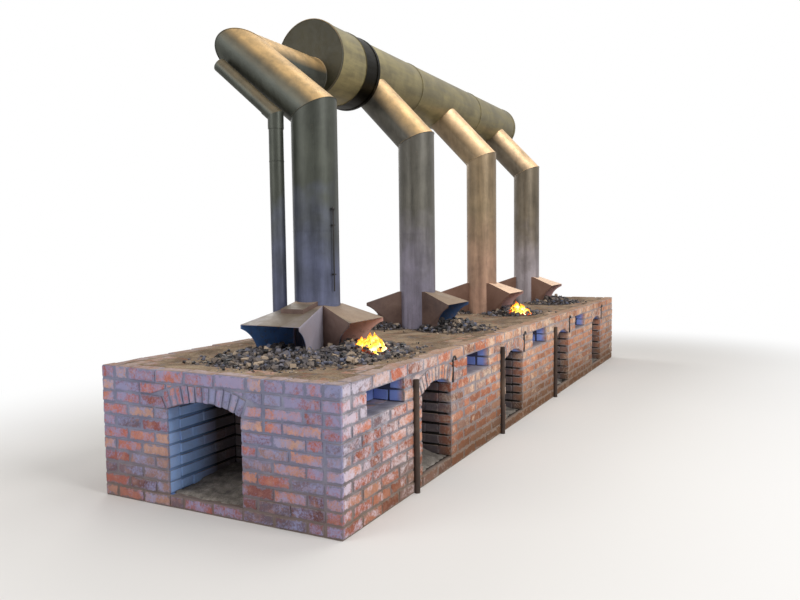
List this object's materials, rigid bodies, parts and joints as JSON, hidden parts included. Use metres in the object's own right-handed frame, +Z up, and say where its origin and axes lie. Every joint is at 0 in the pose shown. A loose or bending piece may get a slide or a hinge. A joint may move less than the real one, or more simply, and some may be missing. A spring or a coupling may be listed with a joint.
{
  "type": "brick forge bench with flues",
  "caption": "Long brick bench with arched ash pits and tool niches, steel hoods over open hearths, flue pipes and an overhead smoke trunk.",
  "frame": {"origin": "floor level under the middle of the bench's footprint", "axes": "X runs along the bench towards its far end, Y across it towards the trunk duct's side, Z up"},
  "size_m": [7.05, 1.8159, 3.423],
  "materials": {
    "brick": "old red brick in grey lime mortar, sooty and limewashed in places",
    "core": "rubble and clay fill",
    "deck": "dusty rammed clay and brick",
    "flue_steel": "smoked sheet steel, dull",
    "duct_steel": "weathered grey sheet steel",
    "hood_steel": "scaled plate, brown and dull",
    "iron": "black forged iron",
    "rusty_iron": "rusty iron pipe",
    "coal": "broken coal and coke"
  },
  "bodies": {
    "root": {"spine_wall": "core", "end_cheeks": "brick", "front_piers": "brick", "back_piers": "brick", "front_arches": "brick", "back_arches": "brick", "end_arches": "brick", "front_spandrels": "brick", "back_spandrels": "brick", "end_spandrels": "brick", "arch_sills": "brick", "hearth_bed": "core", "coping_long": "brick", "coping_ends": "brick", "hearth_deck": "deck", "risers": "flue_steel", "branches": "flue_steel", "lead_pipe": "flue_steel", "drum": "duct_steel", "drum_caps": "duct_steel", "trunk": "duct_steel", "duct_bands": "duct_steel", "hoods_front": "hood_steel", "hoods_back": "hood_steel", "hood_end": "hood_steel", "hood_cap": "hood_steel", "blast_pipe": "flue_steel", "blast_elbow": "flue_steel", "blast_run_pipe": "flue_steel", "damper_rod": "iron", "damper_eyes": "iron", "down_pipes": "rusty_iron", "hook_rods": "iron", "coal_heaps": "coal"}
  },
  "joints": []
}
